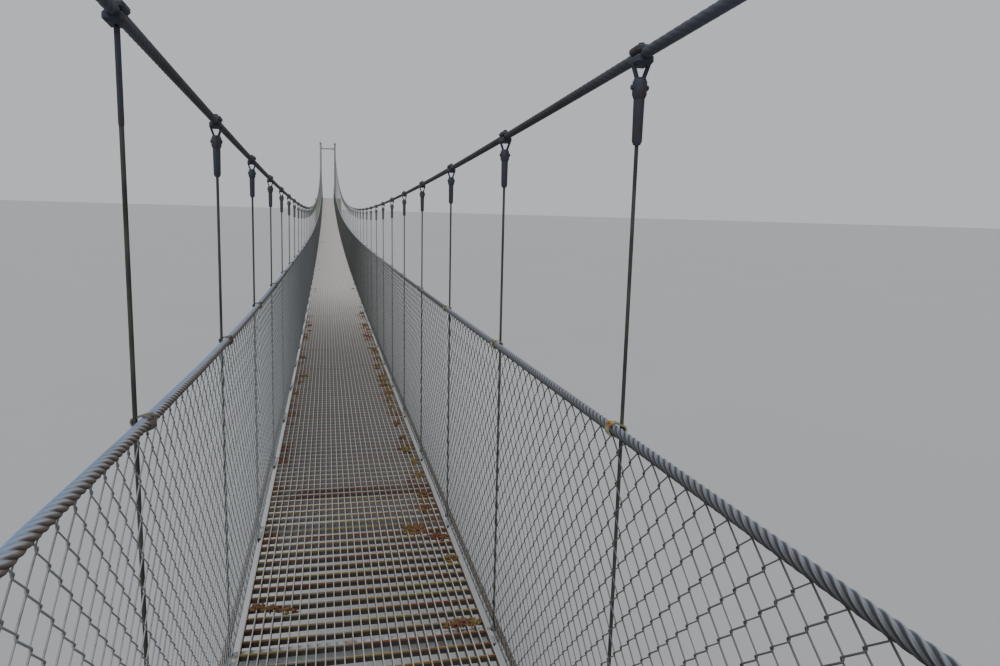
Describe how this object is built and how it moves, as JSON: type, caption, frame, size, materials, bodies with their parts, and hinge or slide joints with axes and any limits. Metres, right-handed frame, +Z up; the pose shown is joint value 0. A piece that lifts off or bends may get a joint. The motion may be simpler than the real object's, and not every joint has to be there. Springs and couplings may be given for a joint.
{
  "type": "wire-rope suspension footbridge, 1:10 scale model",
  "caption": "Suspension footbridge with wire-rope main cables on steel towers, rod hangers, rope handrails, netting sides and a bar-grating deck.",
  "frame": {"origin": "under mid-span, at the level of the abutments' undersides", "axes": "+Y along the bridge towards the far bank, +X to the right, +Z up"},
  "size_m": [0.24, 14.5564, 0.836],
  "materials": {
    "galvanised_steel": "weathered galvanised steel, rust at the transoms",
    "main_rope": "weathered dark wire rope",
    "rail_rope": "galvanised wire rope with brown between the strands",
    "dark_steel": "weathered rod and forged fittings",
    "netting": "galvanised chain-link netting",
    "concrete": "weathered cast concrete"
  },
  "bodies": {
    "root": {"abutment_far": "concrete", "anchor_block_far": "concrete", "tower_beam_far": "galvanised_steel", "tower_leg_far_right": "galvanised_steel", "saddle_far_right": "dark_steel", "anchorage_far_right": "dark_steel", "tower_leg_far_left": "galvanised_steel", "saddle_far_left": "dark_steel", "anchorage_far_left": "dark_steel", "abutment_near": "concrete", "anchor_block_near": "concrete", "tower_beam_near": "galvanised_steel", "tower_leg_near_right": "galvanised_steel", "saddle_near_right": "dark_steel", "anchorage_near_right": "dark_steel", "tower_leg_near_left": "galvanised_steel", "saddle_near_left": "dark_steel", "anchorage_near_left": "dark_steel", "main_cable_right": "main_rope", "handrail_rope_right": "rail_rope", "main_cable_left": "main_rope", "handrail_rope_left": "rail_rope", "deck_1": "galvanised_steel", "hangers_1_right": "dark_steel", "netting_1_right": "netting", "hangers_1_left": "dark_steel", "netting_1_left": "netting", "deck_2": "galvanised_steel", "hangers_2_right": "dark_steel", "netting_2_right": "netting", "hangers_2_left": "dark_steel", "netting_2_left": "netting", "deck_3": "galvanised_steel", "hangers_3_right": "dark_steel", "netting_3_right": "netting", "hangers_3_left": "dark_steel", "netting_3_left": "netting", "deck_4": "galvanised_steel", "hangers_4_right": "dark_steel", "netting_4_right": "netting", "hangers_4_left": "dark_steel", "netting_4_left": "netting"}
  },
  "joints": []
}
